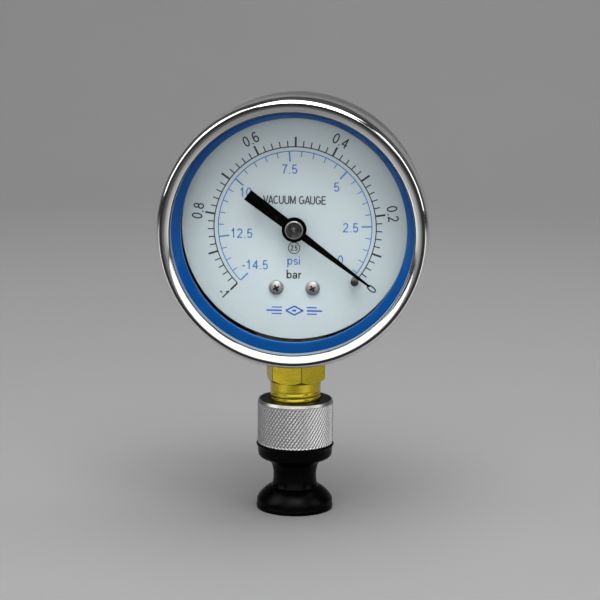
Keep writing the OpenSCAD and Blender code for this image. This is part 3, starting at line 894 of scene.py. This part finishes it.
def make_bar_scale():
    black = Print()
    black.stroke(arc((0, 0), 20.75, SCALE_START, SCALE_END, 120), 0.28)
    for count in range(2, 51):
        angle = bar_angle(count / 50)
        if count % 5 == 0:
            black.tick(angle, 20.85, 23.3, 0.5)
        else:
            black.tick(angle, 20.85, 22.3, 0.29)
    for label in ("0.2", "0.4", "0.6", "0.8"):
        angle = bar_angle(float(label))
        black.text(label, polar(25.2, angle), 2.75, 1.05, angle - 90, 0.34)
    black.text("-1", (-18.1, -17.3), 2.5, 1.0, -45, 0.36)
    zero_angle = -38.2
    black.text("0", polar(25.1, zero_angle), 2.75, 1.05, zero_angle - 90, 0.34)
    black.text("bar", (-0.25, -12.1), 2.25, 1.1, 0, 0.34)
    black.make("print_bar_scale", BLACK_INK)


def make_psi_scale():
    blue = Print()
    blue.stroke(arc((0, 0), 19.65, SCALE_START, SCALE_END, 120), 0.26)
    for count in range(1, 30):
        angle = psi_angle(count / 2)
        if count % 5 == 0 or count == 29:
            blue.tick(angle, 17.0, 19.55, 0.4)
        else:
            blue.tick(angle, 18.2, 19.55, 0.24)
    places = {"0": (11.7, -8.2), "2.5": (14.2, 0.2), "5": (10.5, 10.6), "7.5": (-1.5, 15.0),
              "10": (-12.7, 8.9), "12.5": (-13.7, -1.7), "-14.5": (-10.2, -9.8)}
    for label, at in places.items():
        blue.text(label, at, 2.4, 1.17, 0, 0.32)
    blue.text("psi", (-0.25, -8.5), 2.3, 1.1, 0, 0.31)
    blue.make("print_psi_scale", BLUE_INK)


def make_wording():
    """The instrument's name, and its accuracy class in a circle."""
    grey = Print()
    grey.text("VACUUM GAUGE", (-0.2, 7.1), 2.15, 1.06, 0, 0.31)
    class_at = (-0.2, -5.3)
    grey.stroke(arc(class_at, 1.45, 0, 360, 40), 0.22)
    grey.text("2.5", class_at, 1.4, 0.86, 0, 0.25)
    grey.make("print_wording", GREY_INK)


def make_plain_mark():
    """A plain ornament in the lower part of the dial: a flat diamond between two groups of lines."""
    mark = Print()
    y = -21.6
    mark.stroke([(-2.2, y), (0, y + 1.15), (2.2, y), (0, y - 1.15), (-2.2, y)], 0.4)
    mark.stroke([(-0.5, y), (0.5, y)], 0.5)
    for side in (-1, 1):
        for rise, reach, width in ((0, 7.2, 0.42), (-0.85, 5.8, 0.3), (0.85, 5.8, 0.3)):
            mark.stroke([(side * 3.2, y + rise), (side * reach, y + rise)], width)
    mark.make("print_mark", MARK_INK)


# ---- stem ----

def thread_radius(angle, r, z):
    """Rounded thread, which fades out under the hexagon and is chamfered at the lower end."""
    if r < THREAD_R:
        return r
    fade_top, fade_height = HEX_Z - 1.3, 1.2
    narrowing = 1.3      # a higher power makes the valleys narrower than the crests
    end_chamfer = 0.9
    phase = (z / THREAD_PITCH - angle / (2 * math.pi)) % 1
    valley = (0.5 + 0.5 * math.cos(2 * math.pi * phase)) ** narrowing
    fade = min(1, max(0, (fade_top - z) / fade_height))
    limit = THREAD_R - end_chamfer + max(0, z - STEM_END)
    return min(r - THREAD_DEPTH * valley * fade, limit)


def make_hexagon(corner, top):
    """The brass hexagon, chamfered below and cut off by the round of the case."""
    outline = rounded([(*polar(corner, HEX_TURN + 60 * k), 0.3) for k in range(6)])
    hexagon = prism("hexagon", outline, on_stem, HEX_Z, top)
    low, high, outside = HEX_Z - 1, top + 1, corner + 0.05
    limit = lathe("limit", [(0, low), (HEX_AF / 2 - 0.45, low), (HEX_AF / 2 - 0.05, HEX_Z + 0.001),
                            (outside, HEX_Z + 1.0), (outside, high), (0, high)], on_stem, 128)
    boolean(hexagon, limit, "INTERSECT")
    boolean(hexagon, cylinder("bore", BORE_R + 0.001, low, high, on_stem, 144), "DIFFERENCE")
    boolean(hexagon, cylinder("inside", CASE_R + 0.05, -20, 20, on_dial, 256), "DIFFERENCE")
    return hexagon


def make_stem():
    """Thread and hexagon in one piece, and the block inside the case."""
    rows = 150
    outer = [(THREAD_R, STEM_END + (HEX_Z - STEM_END) * i / rows) for i in range(rows + 1)]
    profile = [(BORE_R, STEM_END)] + outer + [(THREAD_R, HEX_Z + 1), (BORE_R, HEX_Z + 1)]
    stem = lathe("stem", profile, on_stem, 144, relief=thread_radius, smooth=40)
    corner = HEX_AF / math.sqrt(3)
    boolean(stem, make_hexagon(corner, DIAL_Z - CASE_R + 4), "UNION", 35)
    sharpen(stem, HEX_Z - 0.05, 12)
    dress(stem, "gauge", "brass", "socket")

    def on_corner(face):
        x, y, z = face.center / MM
        return z > HEX_Z + 0.3 and math.hypot(x, y) > corner - 0.2 and abs(face.normal.z) < 0.2

    # painted shade: the hexagon's rounded corners get the darker brass
    coat_faces(stem, PAINTED_CORNER_SHADE_BRASS, on_corner)

    # the part inside the case keeps the shape of the CAD socket
    block = bpy.data.objects.new("socket_block", nodes["socket"].data.copy())
    scene.collection.objects.link(block)
    boolean(block, cylinder("within", CASE_R, -20, 20, on_dial, 256), "INTERSECT", 30)
    dress(block, "gauge", "brass", "socket")
    # painted shade: the block inside the case is coated in nearly black brass
    coat(block, PAINTED_SHADE_BRASS_INSIDE)


def make_bourdon_tube():
    """The flattened hollow tube, curved round between its root and its tip."""
    low, high = box("bourdon_tube")
    radius, middle, root, tip = 22.6, 0.75, 246.9, -28
    width, thickness, wall = high.y - low.y, 3, 0.4
    steps, ring = 110, 32

    def section(t, w):
        points = []
        for k in range(ring):
            angle = 2 * math.pi * k / ring
            side = math.copysign((w - t) / 2, math.sin(angle))
            points.append((t / 2 * math.cos(angle), side + t / 2 * math.sin(angle)))
        return points

    loops = section(thickness, width), section(thickness - 2 * wall, width - 2 * wall)
    vertices = []
    for i in range(steps + 1):
        angle = math.radians(root + (tip - root) * i / steps)
        for loop in loops:
            for across, along in loop:
                r = radius + across
                vertices.append(on_dial(r * math.cos(angle), r * math.sin(angle), middle + along))
    faces = []
    for i in range(steps):
        for loop in range(2):
            a, b = (2 * i + loop) * ring, (2 * i + 2 + loop) * ring
            faces += [(a + k, a + (k + 1) % ring, b + (k + 1) % ring, b + k) for k in range(ring)]
    for outer in (0, 2 * steps * ring):
        inner = outer + ring
        faces += [(outer + k, outer + (k + 1) % ring, inner + (k + 1) % ring, inner + k) for k in range(ring)]
    tube = new_object("bent_tube", vertices, faces, 50)
    tube.data.materials.append(MATERIALS["bronze"])
    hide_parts("bourdon_tube")
    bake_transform(tube)


# ---- pointer ----

def make_pointer_cap():
    """Turned cap with a fine ring line and a small centre mark; its rim is coated in brighter steel as a
    painted highlight.
    """
    low, high = box("pointer_cap")
    top, base = -low.y, -high.y
    cap_r, painted_highlight_from = 2.35, 1.98
    face, line, centre = top - 0.16, top - 0.21, top - 0.12
    profile = rounded([
        (0, base, 0), (cap_r, base, 0.04), (cap_r, top - 0.22, 0.15), (2.1, top, 0.1), (1.85, top, 0.05),
        (1.75, face, 0.04), (1.25, face, 0), (1.2, line, 0), (1.1, line, 0), (1.05, face, 0),
        (0.6, face, 0.04), (0.45, top - 0.08, 0.04), (0.2, centre, 0.04), (0, centre, 0)])
    cap = dress(lathe("pointer_boss", profile, on_dial, 96), "pointer_shaft", "dark_steel", "pointer_cap")
    # painted highlight: the cap's rim is coated in the brighter steel
    coat_faces(cap, MATERIALS["bright_steel"], lambda face: from_dial_axis(face) > painted_highlight_from)


def bevel_nodes():
    """A fine rounding on the edges of CAD nodes that stay as they are."""
    widths = {"pointer": 0.07, "dial_plate": 0.08, "window": 0.15, "link": 0.05, "front_plate": 0.1,
              "back_plate": 0.1, "stem_washer": 0.08}
    for name, width in widths.items():
        change = nodes[name].modifiers.new("edges", "BEVEL")
        change.width = width * MM
        change.segments = 2
        change.limit_method = "ANGLE"
        change.angle_limit = math.radians(40)


# ---- collar and rubber ----

def groove(turn, flat, slope):
    """Depth of V grooves, one to each turn, which leave that share of flat between them."""
    return slope * max(0, abs(turn % 1 - 0.5) * 2 - flat)


def knurl(angle, r, z):
    """Two crossing families of fine grooves, the deeper one rising to the right."""
    if r < COLLAR_R - 0.001:
        return r
    turn = KNURL_TEETH * angle / (2 * math.pi)
    climb = z * KNURL_LEAN * KNURL_TEETH / (2 * math.pi * COLLAR_R)
    room = min(z - COLLAR_LOW - COLLAR_EDGE, COLLAR_TOP - COLLAR_SLOPE - z)
    fade = max(0, min(1, room / KNURL_FADE))
    return r - fade * max(groove(turn - climb, 0.4, 0.48), groove(turn + climb, 0.5, 0.26))


def make_collar():
    """Knurled sleeve with a recessed top; the thread in its bore is left plain."""
    rows = 88
    low, high = COLLAR_LOW + COLLAR_EDGE, COLLAR_TOP - COLLAR_SLOPE
    outer = [(COLLAR_R, low + (high - low) * i / rows) for i in range(rows + 1)]
    edge_r = COLLAR_R - COLLAR_EDGE
    rim_r, rim_edge = 9.25, 0.07
    recess, recess_edge = COLLAR_TOP - 0.55, 0.25
    thread_r, thread_low = THREAD_R + 0.05, 20.8
    hole_r = 5
    profile = [(hole_r, COLLAR_LOW), (edge_r, COLLAR_LOW)] + outer
    profile += [(edge_r, COLLAR_TOP), (rim_r + rim_edge, COLLAR_TOP), (rim_r, COLLAR_TOP - rim_edge),
                (rim_r, recess), (thread_r + recess_edge, recess), (thread_r, recess - recess_edge),
                (thread_r, thread_low), (hole_r, thread_low)]
    collar = lathe("knurled_sleeve", profile, on_stem, KNURL_TEETH * 8, relief=knurl, smooth=24)
    dress(collar, "adapter", "knurled_aluminium", "knurled_collar")


def make_seal():
    """The moulded rubber seal in one piece."""
    foot_r = box("seal_foot")[1].x
    top = box("seal_flange")[1].z
    shoulder = COLLAR_LOW - GAP
    hole_r = 1.6
    wall_r = foot_r - 0.12
    bulb_low, bulb_height, bulb_power = 2.4, 3.6, 1.48
    neck_r = 6.2

    foot = rounded([
        (hole_r, 0.9, 0), (6.1, 0.9, 1.2), (7.0, 0, 0.3), (foot_r, 0, 0.3), (foot_r, 1.05, 0.1),
        (foot_r - 0.22, 1.2, 0.08), (wall_r, 1.4, 0.1), (wall_r, bulb_low, 0)])
    bulb = []
    steps = 12
    for k in range(1, steps):
        angle = math.radians(90 * k / steps)
        bulb.append((neck_r + (wall_r - neck_r) * math.cos(angle) ** bulb_power,
                     bulb_low + bulb_height * math.sin(angle) ** bulb_power))
    neck = curve_through([
        (neck_r, 6.0), (5.85, 6.9), (5.65, 8.3), (5.68, 9.8), (5.95, 11.2), (6.3, 12.1), (6.9, 12.8),
        (7.9, 13.35), (8.95, 13.8), (9.55, 14.4), (9.75, 15.3)])
    flange_r, plug_r = 10.2, 4.98
    flange = rounded([
        (9.75, 15.3, 0), (9.82, 16.5, 0.5), (flange_r, shoulder - 0.25, 0.15), (flange_r, shoulder, 0.06),
        (plug_r, shoulder, 0), (plug_r, top, 0), (hole_r, top, 0)])
    seal = lathe("rubber_seal", foot + bulb + neck + flange[1:], on_stem, 160, smooth=40)
    seal.data.materials.append(MATERIALS["black_rubber"])
    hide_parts("seal_flange", "seal_neck", "seal_foot")
    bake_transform(seal)


# ---- stage ----

def make_floor():
    """A plain floor that sweeps up into a backdrop."""
    side, front, bend, rise, height = 2000, -2600, 520, 420, 2400
    outline = [(y, 0) for y in (front, -600, -200, 0, 200)] + arc((bend, rise), rise, -90, 0, 24)
    outline.append((bend + rise, height))
    vertices = []
    for y, z in outline:
        vertices += [(-side, y, z), (side, y, z)]
    faces = [(2 * i, 2 * i + 1, 2 * i + 3, 2 * i + 2) for i in range(len(outline) - 1)]
    floor = new_object("floor", vertices, faces, 60)
    if floor.data.polygons[0].normal.z < 0:
        floor.data.flip_normals()
    paper = Surface("pale_paper", (0.38, 0.38, 0.385), 0.75)
    paper.vary_colour(paper.noise(0.004, 3), (0.37, 0.37, 0.375), (0.39, 0.39, 0.395))
    paper.bump(paper.noise(1.2, 3), 0.02)
    floor.data.materials.append(paper.material)


def table_surface():
    """Dark straight ahead, pale to the sides, and clear close to the gauge."""
    s = Surface("dark_table", (0.02, 0.02, 0.02), 0.9)
    y = s.along("Y")
    aside = s.maths("DIVIDE", s.maths("ABSOLUTE", s.along("X")), s.maths("ABSOLUTE", y))
    s.vary_colour(aside, (0.02, 0.02, 0.02), (0.95, 0.94, 0.91), 0.2, 0.85)
    close = s.spread(y, 1, 0, -80, -30)
    far = s.spread(y, 1, 0, -300, -120)
    ahead = s.maths("MAXIMUM", s.maths("MULTIPLY", close, 0.5), far)
    middle = s.maths("MULTIPLY", s.spread(aside, 1, 0, 0.1, 0.75), ahead)
    sides = s.maths("MULTIPLY", s.spread(aside, 0, 1, 0.4, 0.95), close)
    clear = s.node("ShaderNodeBsdfTransparent")
    s.mix_shaders(s.maths("MAXIMUM", middle, sides), clear.outputs[0], s.shader.outputs[0])
    return s.material


def reflected_card(name, corners, material):
    """A flat stage piece that shows only in reflections."""
    card = new_object(name, corners, [(0, 1, 2, 3)])
    card.data.materials.append(material)
    card.visible_camera = False
    card.visible_shadow = False
    card.visible_diffuse = False


def make_stage():
    make_floor()
    # in front of the gauge, for the lower side of its bezel
    left, right, front, rear = -700, 700, -900, -30
    reflected_card("dark_table", [(left, front, 1), (right, front, 1), (right, rear, 1), (left, rear, 1)],
                   table_surface())
    # high behind the gauge, for the top of its bezel and case
    left, right, y, low, high = -500, 500, 800, 160, 900
    reflected_card("dark_screen", [(left, y, low), (right, y, low), (right, y, high), (left, y, high)],
                   PAINTED_SHADE_AND_SCREEN_BLACK)


def lamp(name, at, aim, size, power):
    """A soft rectangular lamp, in metres and watts."""
    data = bpy.data.lights.new(name, "AREA")
    data.shape = "RECTANGLE"
    data.size, data.size_y = size
    data.energy = power
    light = bpy.data.objects.new(name, data)
    light.location = at
    light.rotation_mode = "QUATERNION"
    light.rotation_quaternion = (Vector(aim) - Vector(at)).to_track_quat("-Z", "Y")
    light.visible_camera = False
    scene.collection.objects.link(light)
    return light


def make_lights():
    """Two soft lamps, four panels that only make reflections, and a faint even light from all round."""
    middle = (0, 0, 0.06)
    lamp("overhead", (0.05, -0.02, 0.88), (0, 0, 0.05), (0.9, 0.7), 6)
    lamp("front", (0.08, -0.64, 1.05), middle, (0.9, 0.5), 7)
    panels = [lamp("low_front", (0.05, -1.0, 0.47), middle, (1.8, 0.92), 8.2),
              lamp("left", (-0.85, -0.3, 0.6), middle, (0.6, 0.9), 3.8),
              lamp("upper_left", (-0.7, -0.2, 0.95), middle, (0.8, 0.6), 2.6),
              lamp("right", (0.85, -0.2, 0.5), middle, (0.5, 0.8), 2.4)]
    for panel in panels:
        panel.visible_diffuse = False
    world = bpy.data.worlds.new("studio")
    world.use_nodes = True
    background = world.node_tree.nodes["Background"]
    background.inputs["Color"].default_value = (0.035, 0.035, 0.037, 1)
    background.inputs["Strength"].default_value = 1.0
    scene.world = world


def make_camera():
    """Long lens a little to the right of the dial and above it."""
    place = Vector((0.0353, -0.600, 0.1706))
    aim = Vector((0, 0, 0.057))
    yaw, pitch, roll = (math.radians(a) for a in (0.09, -0.13, 0.51))
    forward = (aim - place).normalized()
    right = forward.cross(Vector((0, 0, 1))).normalized()
    up = right.cross(forward)
    forward = (forward + right * math.tan(yaw) + up * math.tan(pitch)).normalized()
    right = forward.cross(Vector((0, 0, 1))).normalized()
    up = right.cross(forward)
    right, up = (right * math.cos(roll) + up * math.sin(roll), up * math.cos(roll) - right * math.sin(roll))
    data = bpy.data.cameras.new("camera")
    data.sensor_width = 36
    data.lens = 141.0
    data.clip_start = 0.01
    camera = bpy.data.objects.new("camera", data)
    camera.matrix_world = Matrix((
        (right.x, up.x, -forward.x, place.x), (right.y, up.y, -forward.y, place.y),
        (right.z, up.z, -forward.z, place.z), (0, 0, 0, 1)))
    scene.collection.objects.link(camera)
    scene.camera = camera


make_case()
make_bezel()
make_gasket()
make_dial_ring()
make_dial_screws()
make_case_screws()
make_stop_pin()
make_relief_plug()
make_bar_scale()
make_psi_scale()
make_wording()
make_plain_mark()
make_stem()
make_bourdon_tube()
make_pointer_cap()
bevel_nodes()
make_collar()
make_seal()
make_stage()
make_lights()
make_camera()
scene.view_settings.view_transform = "Standard"
